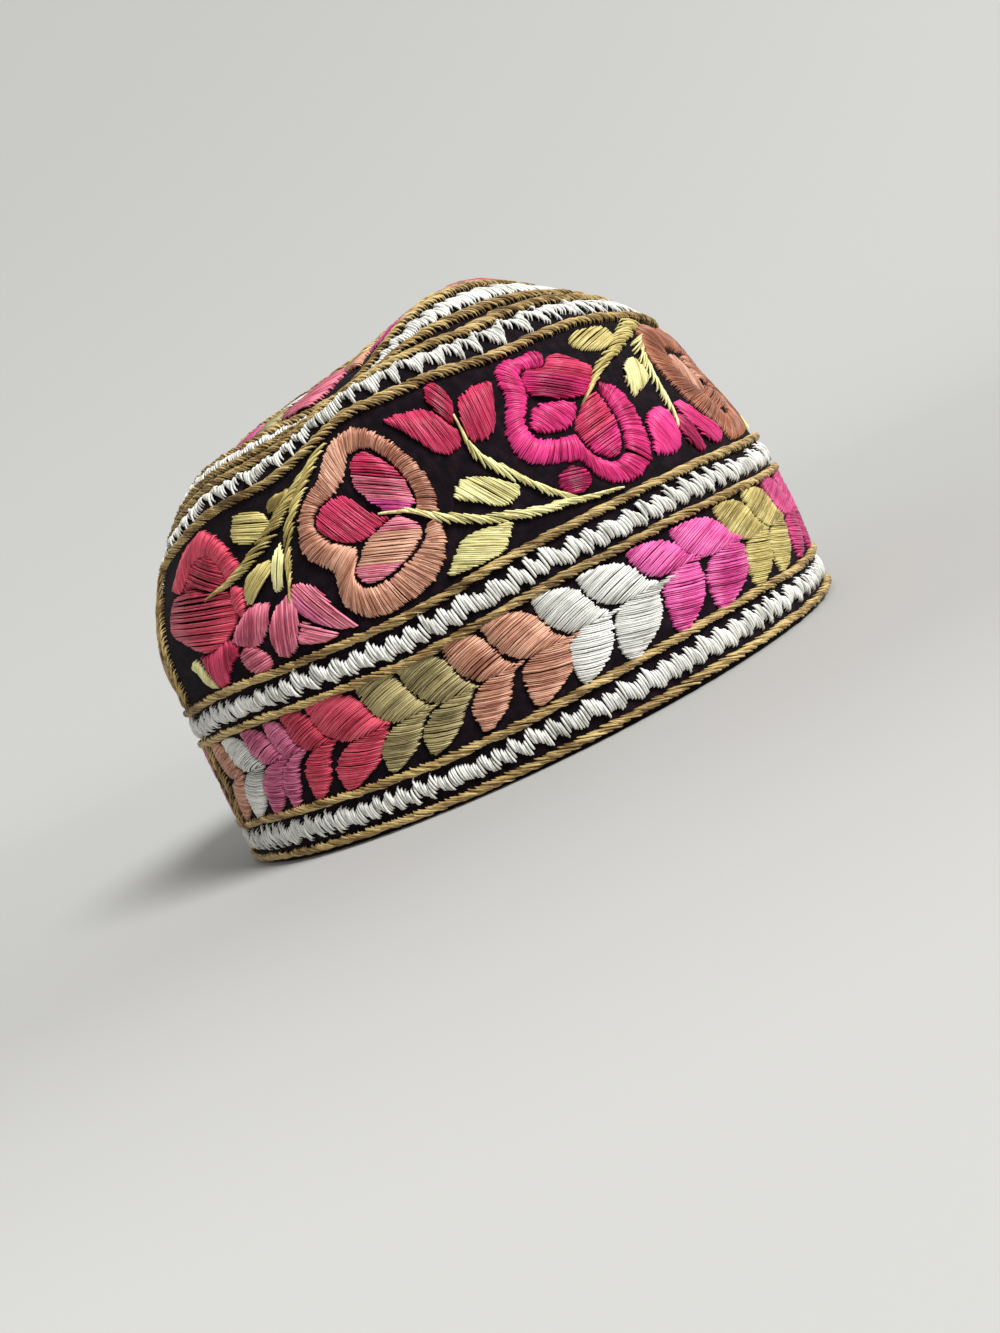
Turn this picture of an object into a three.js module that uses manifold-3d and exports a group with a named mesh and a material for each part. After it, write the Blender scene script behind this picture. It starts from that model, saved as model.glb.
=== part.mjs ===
// An embroidered skullcap: a stiff cloth wall of two friezes under a soft, slightly puckered crown disc,
// with raised embroidery on the cloth. Millimetres, +Z up. The origin is the middle of the rim's plane,
// the wearer faces -Y, and the wearer's right side is -X.
import * as THREE from "three";
import { mergeVertices } from "three/addons/utils/BufferGeometryUtils.js";
import Module from "manifold-3d";

const wasm = await Module();
wasm.setup();

// Driving sizes
const CLOTH = 2.6; // thickness of the quilted cotton wall
const SEAT = 0.4; // gap between a piece and what it lies on or meets
const SEGMENTS = 40; // facets round the cap
const CORD_WIDTH = 2.4; // foot of a stem-stitched cord
const CORD_CREST = 1.2; // width of its rounded top
const CORD_RISE = 1.3; // height of a cord
const BAND_RISE = 1.0; // height of a white zigzag band
const PAD_RISE = 0.8; // height of a satin-stitched motif

// Sections of the cap's outer face. "up" is the distance along the cloth from the rim, "z" the height,
// "front", "back" and "half" the reach from the middle, "lean" how much higher the back stands than the
// middle, which is less than 0 where the cap falls to the back, and "saddle" the same for the two sides.
const SECTIONS = [
  { name: "rim", up: 0, z: 0, front: 97.5, back: 97.5, half: 84.5, lean: 0, saddle: 0 },
  { name: "mid border", up: 43, z: 43, front: 96.4, back: 96.5, half: 83, lean: 0, saddle: 0 },
  { name: "belly", up: 69, z: 69, front: 89.2, back: 94.7, half: 80.8, lean: -0.6, saddle: -0.4 },
  { name: "shoulder", up: 96, z: 95, front: 80, back: 82, half: 74.5, lean: -2.7, saddle: 4 },
  { name: "crown ring", up: 114, z: 105.3, front: 57, back: 71, half: 64.4, lean: -8.4, saddle: 0 },
  { name: "dome", up: 140, z: 117.3, front: 36.5, back: 55.5, half: 34, lean: -7.8, saddle: -2.3 },
  { name: "apex", up: 176, z: 122.5, front: 0, back: 0, half: 0, lean: 0, saddle: 0 },
];
const COLUMNS = ["z", "front", "back", "half", "lean", "saddle"];
const APEX = SECTIONS.at(-1).up;
const MID = SECTIONS[1].up;

// Puckers where the wearer's right shoulder and the crown ring sink, and the crown's raised edge in
// front of them and behind them: angle and half width in degrees, place and reach along the cloth, and
// rise in mm.
const PUCKERS = [
  { turn: 163, width: 20, up: 96, reach: 18, rise: -4 },
  { turn: 208, width: 18, up: 94, reach: 14, rise: -1.5 },
  { turn: 179, width: 22, up: 111, reach: 14, rise: -3.4 },
  { turn: 213, width: 38, up: 116, reach: 18, rise: 4.8 },
  { turn: 136, width: 31, up: 113, reach: 16, rise: 4.2 },
];

// Where the cloth pieces end, measured up the cloth
const JOIN_LIFT = 0.15; // the strips' join lies this much above the middle of the mid border
const LEAF_TOP = MID + JOIN_LIFT;
const FLOWER_FOOT = LEAF_TOP + SEAT;
const FLOWER_TOP = 103;
const DISC_EDGE = FLOWER_TOP + SEAT;
const MITRE = 2.2; // the disc's edge slants this far up on the inside, where the fold takes up room
const LEAF_ROWS = [0, LEAF_TOP];
const FLOWER_ROWS = [FLOWER_FOOT, 64, 78, 90.8, 97, FLOWER_TOP];
const CROWN_ROWS = [DISC_EDGE, 107.4, 112.6, 121, 134, 152, APEX];

// Each border is a cord, a white zigzag band and a cord: middle of the lower cord, edges of the band,
// and middle of the upper cord, up the cloth.
const BORDERS = [
  { name: "rim", cord_low: 2.3, foot: 4.3, top: 9.7, cord_high: 12.0 },
  { name: "mid", cord_low: 38.8, foot: 40.5, top: 46.2, cord_high: 48.6 },
  { name: "shoulder", cord_low: 92.4, foot: 94.2, top: 99.6, cord_high: 101.6 },
  { name: "crown", cord_low: 105.6, foot: 107.4, top: 112.6, cord_high: 114.8 },
];
const SPRAY_FIELD = [14, 37]; // clear of the rim border and the mid border
const FLOWER_FIELD = [50.2, 64, 78, 90.8]; // clear of the mid border and the shoulder border

const COLOURS = {
  black: { color: 0x16101a, roughness: 0.95 },
  gold: { color: 0x94763a, roughness: 0.6 },
  white: { color: 0xdedbd2, roughness: 0.5 },
  coral: { color: 0xc0754d, roughness: 0.5 },
  crimson: { color: 0xae2742, roughness: 0.5 },
  rose: { color: 0xd2385f, roughness: 0.5 },
  magenta: { color: 0xc72a7c, roughness: 0.5 },
  purple: { color: 0xa33668, roughness: 0.5 },
  pink: { color: 0xcd6b80, roughness: 0.5 },
  yellow: { color: 0xcfc07a, roughness: 0.5 },
  olive: { color: 0x93884a, roughness: 0.5 },
};

const cap = new THREE.Group();

function material(colour) {
  return new THREE.MeshStandardMaterial({ ...COLOURS[colour], metalness: 0 });
}

function addPiece(name, geometry, colour) {
  const mesh = new THREE.Mesh(geometry, material(colour));
  mesh.name = name;
  cap.add(mesh);
}

// The section at a distance up the cloth, on a smooth curve through the table
function slopeAt(index, column) {
  const before = SECTIONS[Math.max(index - 1, 0)];
  const after = SECTIONS[Math.min(index + 1, SECTIONS.length - 1)];
  return (after[column] - before[column]) / (after.up - before.up);
}

function sectionAt(up) {
  let index = 0;
  while (index < SECTIONS.length - 2 && up >= SECTIONS[index + 1].up) index += 1;
  const low = SECTIONS[index];
  const high = SECTIONS[index + 1];
  const span = high.up - low.up;
  const t = (up - low.up) / span;
  const section = {};
  for (const column of COLUMNS) {
    section[column] = low[column] * (2 * t ** 3 - 3 * t ** 2 + 1)
      + slopeAt(index, column) * span * (t ** 3 - 2 * t ** 2 + t)
      + high[column] * (3 * t ** 2 - 2 * t ** 3)
      + slopeAt(index + 1, column) * span * (t ** 3 - t ** 2);
  }
  return section;
}

function swell(distance) {
  return Math.abs(distance) < 1 ? (1 + Math.cos(Math.PI * distance)) / 2 : 0;
}

// A point of the outer face, "turn" radians round from +X
function facePoint(turn, up) {
  const section = sectionAt(up);
  const side = Math.sin(turn);
  const reach = side < 0 ? section.front : section.back;
  let z = section.z + section.lean * side + section.saddle * Math.cos(2 * turn);
  for (const pucker of PUCKERS) {
    const round = THREE.MathUtils.euclideanModulo(THREE.MathUtils.radToDeg(turn) - pucker.turn + 180, 360) - 180;
    z += pucker.rise * swell(round / pucker.width) * swell((up - pucker.up) / pucker.reach);
  }
  return new THREE.Vector3(section.half * Math.cos(turn), reach * side, z);
}

const LEVEL_POLE = 0.5; // this near the apex the face is level
const NORMAL_STEP = 0.001;
function faceNormal(turn, up) {
  if (up > APEX - LEVEL_POLE) return new THREE.Vector3(0, 0, 1);
  const round = facePoint(turn + NORMAL_STEP, up).sub(facePoint(turn - NORMAL_STEP, up));
  const rise = facePoint(turn, up + NORMAL_STEP).sub(facePoint(turn, Math.max(up - NORMAL_STEP, 0)));
  const normal = round.cross(rise);
  if (up === 0) normal.z = 0;
  return normal.normalize();
}

// A point at a distance out from the face, or in from it where "out" is negative
function onCap(turn, up, out) {
  return facePoint(turn, up).addScaledVector(faceNormal(turn, up), out);
}

// The angle of a place "along" mm round the mid border, from the middle of the wearer's right side
// towards the forehead
const ROUND_STEPS = 1440;
const roundLengths = [0];
for (let i = 1; i <= ROUND_STEPS; i += 1) {
  const from = facePoint(((i - 1) * 2 * Math.PI) / ROUND_STEPS, MID);
  const to = facePoint((i * 2 * Math.PI) / ROUND_STEPS, MID);
  roundLengths.push(roundLengths[i - 1] + from.distanceTo(to));
}
const ROUND = roundLengths[ROUND_STEPS];

function turnAt(along) {
  const length = THREE.MathUtils.euclideanModulo(along + roundLengths[ROUND_STEPS / 2], ROUND);
  let i = 0;
  while (roundLengths[i + 1] < length) i += 1;
  const part = (length - roundLengths[i]) / (roundLengths[i + 1] - roundLengths[i]);
  return ((i + part) * 2 * Math.PI) / ROUND_STEPS;
}

// Shared corners are merged, facets of no area dropped, and the faces turned outwards
const WELD = 1e-4;
function closedBody(geometry) {
  geometry.deleteAttribute("normal");
  geometry.deleteAttribute("uv");
  const merged = mergeVertices(geometry, WELD);
  const position = merged.attributes.position;
  const kept = [];
  let volume = 0;
  const corners = [new THREE.Vector3(), new THREE.Vector3(), new THREE.Vector3()];
  for (let i = 0; i < merged.index.count; i += 3) {
    const face = [0, 1, 2].map((k) => merged.index.getX(i + k));
    if (new Set(face).size < 3) continue;
    kept.push(face);
    face.forEach((vertex, k) => corners[k].fromBufferAttribute(position, vertex));
    volume += corners[0].dot(corners[1].cross(corners[2]));
  }
  const faces = volume < 0 ? kept.map((face) => face.toReversed()) : kept;
  merged.setIndex(faces.flat());
  return merged;
}

// A body swept round the cap from a closed outline of [up, out] points
function sweptRound(outline) {
  const closed = [...outline, outline[0]];
  const lathe = new THREE.LatheGeometry(closed.map(([up]) => new THREE.Vector2(1, up)), SEGMENTS);
  const position = lathe.attributes.position;
  for (let i = 0; i <= SEGMENTS; i += 1) {
    const turn = ((i % SEGMENTS) * 2 * Math.PI) / SEGMENTS;
    closed.forEach(([up, out], j) => {
      const point = onCap(turn, up, out);
      position.setXYZ(i * closed.length + j, point.x, point.y, point.z);
    });
  }
  return closedBody(lathe);
}

// A layer between two distances from the face, whose foot lies higher inside by the mitre
function layer(rows, inner, outer, mitre = 0) {
  const outside = rows.map((up) => [up, outer]);
  const inside = rows.map((up, i) => [i === 0 ? up + mitre : up, inner]).reverse();
  return sweptRound([...outside, ...inside]);
}

function toSolid(geometry) {
  const vertProperties = new Float32Array(geometry.attributes.position.array);
  const triVerts = new Uint32Array(geometry.index.array);
  return new wasm.Manifold(new wasm.Mesh({ numProp: 3, vertProperties, triVerts }));
}

function toGeometry(solid) {
  const mesh = solid.getMesh();
  const geometry = new THREE.BufferGeometry();
  geometry.setAttribute("position", new THREE.BufferAttribute(mesh.vertProperties, 3));
  geometry.setIndex(new THREE.BufferAttribute(mesh.triVerts, 1));
  return geometry;
}

// The part of a thin layer that lies under an outline of [along, up] points
const PRISM_DEPTH = 24;
function padUnder(outline, field) {
  const middle = outline.reduce(([a, u], [along, up]) => [a + along, u + up], [0, 0])
    .map((sum) => sum / outline.length);
  const centre = onCap(turnAt(middle[0]), middle[1], SEAT);
  const normal = faceNormal(turnAt(middle[0]), middle[1]);
  const across = new THREE.Vector3(0, 0, 1).cross(normal).normalize();
  const upward = normal.clone().cross(across);
  const flat = outline.map(([along, up]) => {
    const offset = onCap(turnAt(along), up, SEAT).sub(centre);
    return new THREE.Vector2(offset.dot(across), offset.dot(upward));
  });
  const prism = new THREE.ExtrudeGeometry(new THREE.Shape(flat), { depth: PRISM_DEPTH, bevelEnabled: false });
  prism.translate(0, 0, -PRISM_DEPTH / 2);
  prism.applyMatrix4(new THREE.Matrix4().makeBasis(across, upward, normal).setPosition(centre));
  return toGeometry(field.intersect(toSolid(closedBody(prism))));
}

// Cloth: the leaf strip, the flower strip above it, and the crown disc
addPiece("leaf_band", layer(LEAF_ROWS, -CLOTH, 0), "black");
addPiece("flower_band", layer(FLOWER_ROWS, -CLOTH, 0), "black");
addPiece("crown_disc", layer(CROWN_ROWS, -CLOTH, 0, MITRE), "black");

// Borders
function cordOutline(up) {
  const foot = CORD_WIDTH / 2;
  const crest = CORD_CREST / 2;
  const top = SEAT + CORD_RISE;
  return [[up - foot, SEAT], [up - crest, top], [up + crest, top], [up + foot, SEAT]];
}

for (const border of BORDERS) {
  addPiece(`${border.name}_cord_low`, sweptRound(cordOutline(border.cord_low)), "gold");
  addPiece(`${border.name}_zigzag_band`, layer([border.foot, border.top], SEAT, SEAT + BAND_RISE), "white");
  addPiece(`${border.name}_cord_high`, sweptRound(cordOutline(border.cord_high)), "gold");
}

// Cords that close the two ends of each strip, side by side at the back of the wearer's right side
const SEAM_ALONG = -99;
const SEAM_PAIR = 4.2; // distance between the two cords
const cordLayers = {
  leaf: toSolid(layer(SPRAY_FIELD, SEAT, SEAT + CORD_RISE)),
  flower: toSolid(layer(FLOWER_FIELD, SEAT, SEAT + CORD_RISE)),
};
const SEAM_REACH = { leaf: [10, 41], flower: [46, 95] };
for (const [strip, [foot, top]] of Object.entries(SEAM_REACH)) {
  for (const [side, along] of [["rear", SEAM_ALONG - SEAM_PAIR / 2], ["fore", SEAM_ALONG + SEAM_PAIR / 2]]) {
    const half = CORD_WIDTH / 2;
    const outline = [[along - half, foot], [along + half, foot], [along + half, top], [along - half, top]];
    addPiece(`${strip}_seam_cord_${side}`, padUnder(outline, cordLayers[strip]), "gold");
  }
}

// Leaf sprays: two pairs of leaves on one stem that points forward. "start" is the rear tip of the
// first upper leaf and "pitch" the distance to the next pair, 0 where there is one pair. The last
// pair is as broad as the room before the next spray.
const SPRAYS = [
  { start: -94.5, pitch: 0, colour: "coral" },
  { start: -84, pitch: 0, colour: "white" },
  { start: -73.3, pitch: 10, colour: "purple" },
  { start: -54.5, pitch: 10.5, colour: "crimson" },
  { start: -30, pitch: 11.5, colour: "olive" },
  { start: -5.2, pitch: 10.8, colour: "coral" },
  { start: 18.8, pitch: 12.5, colour: "white" },
  { start: 45.6, pitch: 13.2, colour: "magenta" },
  { start: 74.2, pitch: 12.8, colour: "yellow" },
];
const HIDDEN_SPRAYS = 13;
const HIDDEN_START = 101.5;
const HIDDEN_PITCH = 13.2;
const SEAM_CLEAR = 6; // from the seam to the tip of the last spray
const HIDDEN_COLOURS = ["purple", "crimson", "olive", "coral", "white", "magenta", "yellow"];
const LAST_TIP = ROUND + SEAM_ALONG - SEAM_CLEAR;
const hiddenStep = (LAST_TIP - HIDDEN_START) / HIDDEN_SPRAYS;
for (let i = 0; i < HIDDEN_SPRAYS; i += 1) {
  const colour = HIDDEN_COLOURS[i % HIDDEN_COLOURS.length];
  SPRAYS.push({ start: HIDDEN_START + i * hiddenStep, pitch: HIDDEN_PITCH, colour });
}

// Outlines of the pairs of leaves: [share of the pair's breadth, up]
const REAR_NOTCH = [[0.17, 21], [0.42, 26.4], [0.1, 31]];
const REAR_TOP = [[0, 36.8], [0.6, 36.7], [0.97, 32.4]];
const REAR_FOOT = [[1.07, 19.4], [0.46, 14.4], [0.13, 14.3]];
const FRONT_TOP = [[0, 36.8], [0.42, 36.8], [0.75, 32.6], [1.02, 28]];
const FRONT_FOOT = [[0.86, 22.5], [0.62, 17.2], [0.35, 14.4], [0.1, 14.3]];

function sprayOutline(spray, i) {
  const { start, pitch } = spray;
  const end = i + 1 < SPRAYS.length ? SPRAYS[i + 1].start : LAST_TIP;
  const breadth = end - start - pitch;
  const rear = (points) => points.map(([share, up]) => [start + share * (pitch || breadth), up]);
  const front = (points) => points.map(([share, up]) => [start + pitch + share * breadth, up]);
  const frontPair = [...front(FRONT_TOP), ...front(FRONT_FOOT)];
  if (pitch === 0) return [...frontPair, ...rear(REAR_NOTCH)];
  return [...rear(REAR_TOP), ...frontPair, ...rear(REAR_FOOT), ...rear(REAR_NOTCH)];
}

const sprayLayer = toSolid(layer(SPRAY_FIELD, SEAT, SEAT + PAD_RISE));
SPRAYS.forEach((spray, i) => {
  addPiece(`leaf_spray_${String(i + 1).padStart(2, "0")}`, padUnder(sprayOutline(spray, i), sprayLayer), spray.colour);
});

// Flowers of the wide frieze, by the outline of each as [along, up] points. The same nine follow one
// another twice round the cap.
const FLOWERS = [
  {
    name: "red_rose", colours: ["crimson", "magenta"], outline: [
      [-83, 84], [-74, 88.6], [-61, 89.6], [-53, 84.5], [-48.5, 77.5], [-51, 66], [-59, 61.5], [-60.5, 56],
      [-67, 51], [-74.5, 60.5], [-86, 70],
    ],
  },
  {
    name: "pink_petals", colours: ["pink", "rose"], outline: [
      [-56.5, 59.5], [-48, 65.5], [-41, 61.5], [-32.5, 65.7], [-26, 61], [-23, 50.6], [-31, 52.5], [-37, 50.4],
      [-44, 50.4], [-49, 55.5], [-52, 50.6], [-57, 52],
    ],
  },
  {
    name: "coral_flower", colours: ["coral", "pink"], outline: [
      [-14.5, 86], [-8, 90.2], [-1, 89.2], [5.5, 83.3], [9.8, 76], [9.8, 69], [8, 61.5], [4, 54.5], [-4, 50.4],
      [-12, 50.4], [-19.5, 52], [-22.2, 59], [-21.5, 65], [-27, 71], [-25, 78.5], [-19, 83],
    ],
  },
  {
    name: "rose_bud", colours: ["rose", "crimson"], outline: [
      [10.5, 86.5], [16.5, 86.5], [18.8, 88.5], [21.5, 90.6], [24.6, 87.5], [25.5, 84.5], [30, 86.3], [36.5, 86],
      [31.5, 76.5], [25, 76], [20, 75.8], [14.5, 78], [11, 82.5],
    ],
  },
  {
    name: "long_leaf", colours: ["yellow", "olive"], outline: [
      [5.8, 53.5], [10, 57.3], [23.5, 56.4], [20, 51.8], [13, 50.5],
    ],
  },
  {
    name: "magenta_rose", colours: ["magenta", "coral"], outline: [
      [38.8, 85.5], [41.5, 88.5], [53, 89.2], [61, 85.8], [66.5, 80.5], [70, 75], [70.8, 69], [67.5, 58],
      [62.5, 54], [54.5, 52.6], [50, 56], [46.5, 63.5], [37, 65.8], [33.3, 72],
    ],
  },
  {
    name: "magenta_petals", colours: ["magenta", "crimson"], outline: [
      [69.5, 57], [73, 65], [80, 66], [88, 65.5], [92, 60.5], [95.8, 53.5], [91, 51.5], [81.5, 51.3], [79, 56],
      [73, 53.8],
    ],
  },
  {
    name: "copper_flower", colours: ["coral", "purple"], outline: [
      [89, 79.5], [95, 86.5], [103, 88.5], [115, 85], [126, 87], [133, 76], [130, 62], [121, 52], [103, 50.6],
      [97.6, 53], [94.5, 63], [91, 71],
    ],
  },
  {
    name: "tan_flower", colours: ["coral", "yellow"], outline: [
      [141, 74], [150, 86], [163, 89], [172, 84], [176.5, 72], [170, 58], [158, 52], [146, 60],
    ],
  },
];
const flowerLayer = toSolid(layer(FLOWER_FIELD, SEAT, SEAT + PAD_RISE));
for (const [repeat, side] of [[0, "right"], [1, "left"]]) {
  for (const flower of FLOWERS) {
    const outline = flower.outline.map(([along, up]) => [along + (repeat * ROUND) / 2, up]);
    addPiece(`${flower.name}_${side}`, padUnder(outline, flowerLayer), flower.colours[repeat]);
  }
}

export default cap;
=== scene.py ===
# An embroidered skullcap of black cotton: a low frieze of leaf sprays, a tall frieze of flowers and a
# crown disc, between borders of gold-coloured cord and white zigzag. It stands on its rim.
# Sizes are in mm, as on the cap itself, and MM turns them into metres.
import math

import bmesh
import bpy
import numpy as np
from mathutils import Matrix, Vector


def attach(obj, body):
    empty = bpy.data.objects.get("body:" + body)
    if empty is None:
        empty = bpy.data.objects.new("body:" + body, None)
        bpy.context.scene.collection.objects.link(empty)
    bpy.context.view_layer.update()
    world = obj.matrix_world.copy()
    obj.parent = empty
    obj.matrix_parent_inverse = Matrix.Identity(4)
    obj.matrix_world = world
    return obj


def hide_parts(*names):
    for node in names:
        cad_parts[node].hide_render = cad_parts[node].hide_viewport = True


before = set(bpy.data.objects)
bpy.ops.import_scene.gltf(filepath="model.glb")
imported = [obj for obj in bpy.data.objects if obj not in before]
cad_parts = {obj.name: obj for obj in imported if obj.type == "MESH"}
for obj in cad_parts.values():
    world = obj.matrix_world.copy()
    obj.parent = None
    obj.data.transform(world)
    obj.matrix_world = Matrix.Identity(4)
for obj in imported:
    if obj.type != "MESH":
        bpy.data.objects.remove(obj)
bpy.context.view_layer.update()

# Cloth
# The cap is sewn from a straight strip, a tapering strip above it and a soft crown disc, each of black
# cotton quilted to 2.6 mm. The strips meet edge to edge under the mid border, and the disc meets the wall
# between the shoulder and crown borders. The inside is left plain.
MM = 0.001
CLOTH = 2.6  # thickness
FACETS = 240  # round the cap
ROW = 2.4  # distance between the rows of the cloth's mesh
EDGE_RADIUS = 0.9
EDGE_STEPS = 4
MITRE = 1.2  # how far up the disc's edge slants on the inside
MITRE_REACH = 6.0  # distance over which the slant fades out
DRUM = 10.0  # radius at which an outline is spun before it is laid on the cap

# Sections of the cap's outer face: distance up the cloth from the rim, height, reach to the front, to
# the back and to each side, how much higher the back stands, and how much higher the sides stand.
SECTIONS = np.array([
    (0, 0, 97.5, 97.5, 84.5, 0, 0),
    (43, 43, 96.4, 96.5, 83, 0, 0),
    (69, 69, 89.2, 94.7, 80.8, -0.6, -0.4),
    (96, 95, 80, 82, 74.5, -2.7, 4),
    (114, 105.3, 57, 71, 64.4, -8.4, 0),
    (140, 117.3, 36.5, 55.5, 34, -7.8, -2.3),
    (176, 122.5, 0, 0, 0, 0, 0),
], float)
UPS = SECTIONS[:, 0]
APEX = UPS[-1]
MID = UPS[1]
SLOPES = np.vstack([
    (SECTIONS[1] - SECTIONS[0]) / (UPS[1] - UPS[0]),
    (SECTIONS[2:] - SECTIONS[:-2]) / (UPS[2:] - UPS[:-2])[:, None],
    (SECTIONS[-1] - SECTIONS[-2]) / (UPS[-1] - UPS[-2]),
])

# Puckers at the right shoulder and crown, and the crown's raised edge in front of them and behind them:
# angle and half width in degrees, place and reach up the cloth, and rise.
PUCKERS = [
    (163, 20, 96, 18, -4), (208, 18, 94, 14, -1.5), (179, 22, 111, 14, -3.4), (213, 38, 116, 18, 4.8),
    (136, 31, 113, 16, 4.2),
]
POLE = 0.4  # nearer than this to the crown's middle, the face's slope is the one found here
TURNS = 1441  # places at which the mid border is measured


def section_at(up):
    index = np.clip(np.searchsorted(UPS, up, side="right") - 1, 0, len(UPS) - 2)
    span = (UPS[index + 1] - UPS[index])[..., None]
    t = (up - UPS[index])[..., None] / span
    found = (
        SECTIONS[index] * (2 * t**3 - 3 * t**2 + 1)
        + SLOPES[index] * span * (t**3 - 2 * t**2 + t)
        + SECTIONS[index + 1] * (3 * t**2 - 2 * t**3)
        + SLOPES[index + 1] * span * (t**3 - t**2)
    )
    return np.moveaxis(found, -1, 0)[1:]


def swell(distance):
    return np.where(np.abs(distance) < 1, (1 + np.cos(np.pi * distance)) / 2, 0)


def face_point(turn, up):
    height, front, back, half, lean, saddle = section_at(up)
    side = np.sin(turn)
    z = height + lean * side + saddle * np.cos(2 * turn)
    for middle, width, place, reach, rise in PUCKERS:
        round_by = (np.degrees(turn) - middle + 180) % 360 - 180
        z = z + rise * swell(round_by / width) * swell((up - place) / reach)
    return np.stack([half * np.cos(turn), np.where(side < 0, front, back) * side, z], -1)


def unit(vectors):
    return vectors / np.maximum(np.linalg.norm(vectors, axis=-1, keepdims=True), 1e-12)


def face_normal(turn, up):
    step = 0.002
    low = np.clip(up, step, APEX - POLE)
    around = face_point(turn + step, low) - face_point(turn - step, low)
    upward = face_point(turn, low + step) - face_point(turn, low - step)
    return unit(np.cross(around, upward))


# Distance "along" the mid border from the middle of the wearer's right side, towards the forehead
round_turns = np.linspace(0, 2 * np.pi, TURNS)
round_points = face_point(round_turns, np.full(TURNS, MID))
round_lengths = np.append(0, np.cumsum(np.linalg.norm(np.diff(round_points, axis=0), axis=1)))
ROUND = round_lengths[-1]


def turn_at(along):
    return np.interp((along + ROUND / 2) % ROUND, round_lengths, round_turns)


def along_at(turn):
    return np.interp(turn % (2 * np.pi), round_turns, round_lengths) - ROUND / 2


def strip_outline(foot, top):
    """The thickness of a strip as a closed loop of (up, out) points, with turned edges."""
    rows = np.linspace(foot + EDGE_RADIUS, top - EDGE_RADIUS, round((top - foot) / ROW) + 1)
    corner = np.linspace(0, np.pi / 2, EDGE_STEPS + 1)[1:-1]
    rounding = EDGE_RADIUS * np.column_stack([np.sin(corner), np.cos(corner) - 1])
    outside = np.column_stack([rows, 0 * rows])
    top_corner = outside[-1] + rounding
    top_inner = (rows[-1], -CLOTH) + rounding[::-1] * (1, -1)
    foot_inner = (rows[0], -CLOTH) + rounding * (-1, -1)
    foot_corner = outside[0] + rounding[::-1] * (-1, 1)
    walls = [(top, -EDGE_RADIUS), (top, EDGE_RADIUS - CLOTH)]
    feet = [(foot, EDGE_RADIUS - CLOTH), (foot, -EDGE_RADIUS)]
    inside = np.column_stack([rows[::-1], 0 * rows - CLOTH])
    return np.vstack([outside, top_corner, walls, top_inner, inside, foot_inner, feet, foot_corner])


def disc_outline(foot):
    """The thickness of the crown disc as an open chain from its middle, round its edge, and back.

    Its edge slants up on the inside, where the fold between wall and crown takes up room.
    """
    loop = strip_outline(foot, APEX)
    near = np.clip(1 - (loop[:, 0] - foot) / MITRE_REACH, 0, 1)
    depth = np.maximum(-loop[:, 1] - EDGE_RADIUS, 0) / (CLOTH - EDGE_RADIUS)
    loop[:, 0] += MITRE * near * depth
    rows = round((APEX - foot) / ROW) + 1
    outside = loop[:rows]
    rest = loop[rows + 2 * (EDGE_STEPS - 1) + 2:]
    inside, edge = rest[:rows], rest[rows:]
    outside[-1, 0] = inside[0, 0] = APEX
    return np.vstack([inside, edge, outside])


def spun_cloth(name, outline, closed):
    bm = bmesh.new()
    chain = [bm.verts.new((DRUM + out, 0, up)) for up, out in outline]
    pairs = list(zip(chain, chain[1:]))
    if closed:
        pairs.append((chain[-1], chain[0]))
    edges = [bm.edges.new(pair) for pair in pairs]
    bmesh.ops.spin(
        bm, geom=chain + edges, cent=(0, 0, 0), axis=(0, 0, 1), angle=2 * math.pi,
        steps=FACETS, use_merge=True,
    )
    spun = np.array([vert.co for vert in bm.verts])
    turn, up = np.arctan2(spun[:, 1], spun[:, 0]), spun[:, 2]
    out = np.hypot(spun[:, 0], spun[:, 1]) - DRUM
    laid = face_point(turn, up) + face_normal(turn, up) * out[:, None]
    laid[:, 2] = np.maximum(laid[:, 2], 0)  # the rim rests on the floor
    along = along_at(turn)
    lay = bm.loops.layers.uv.new("weave")
    for vert, place in zip(bm.verts, laid):
        vert.co = place * MM
    bm.verts.index_update()
    for face in bm.faces:
        corners = [loop.vert.index for loop in face.loops]
        if closed:
            low = min(along[corners])
            across = [along[i] if along[i] - low < ROUND / 2 else along[i] - ROUND for i in corners]
            flat = [(a, up[i]) for a, i in zip(across, corners)]
        else:
            flat = [((APEX - up[i]) * math.cos(turn[i]), (APEX - up[i]) * math.sin(turn[i])) for i in corners]
        for loop, place in zip(face.loops, flat):
            loop[lay].uv = place
        face.smooth = True
    bmesh.ops.remove_doubles(bm, verts=bm.verts, dist=1e-6)
    bmesh.ops.recalc_face_normals(bm, faces=bm.faces)
    mesh = bpy.data.meshes.new(name)
    bm.to_mesh(mesh)
    bm.free()
    piece = bpy.data.objects.new(name, mesh)
    bpy.context.scene.collection.objects.link(piece)
    return piece


def linear(red, green, blue):
    """A colour as it is seen, 0 to 255, as the light values that a shader takes."""
    shares = [c / 255 for c in (red, green, blue)]
    return tuple(share / 12.92 if share < 0.04045 else ((share + 0.055) / 1.055) ** 2.4 for share in shares)


def colour_ramp(nodes, stops):
    ramp = nodes.new("ShaderNodeValToRGB")
    ramp.color_ramp.interpolation = "B_SPLINE"
    while len(ramp.color_ramp.elements) < len(stops):
        ramp.color_ramp.elements.new(0.5)
    for element, (place, colour) in zip(ramp.color_ramp.elements, stops):
        element.position = place
        element.color = (*linear(*colour), 1)
    return ramp


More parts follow.
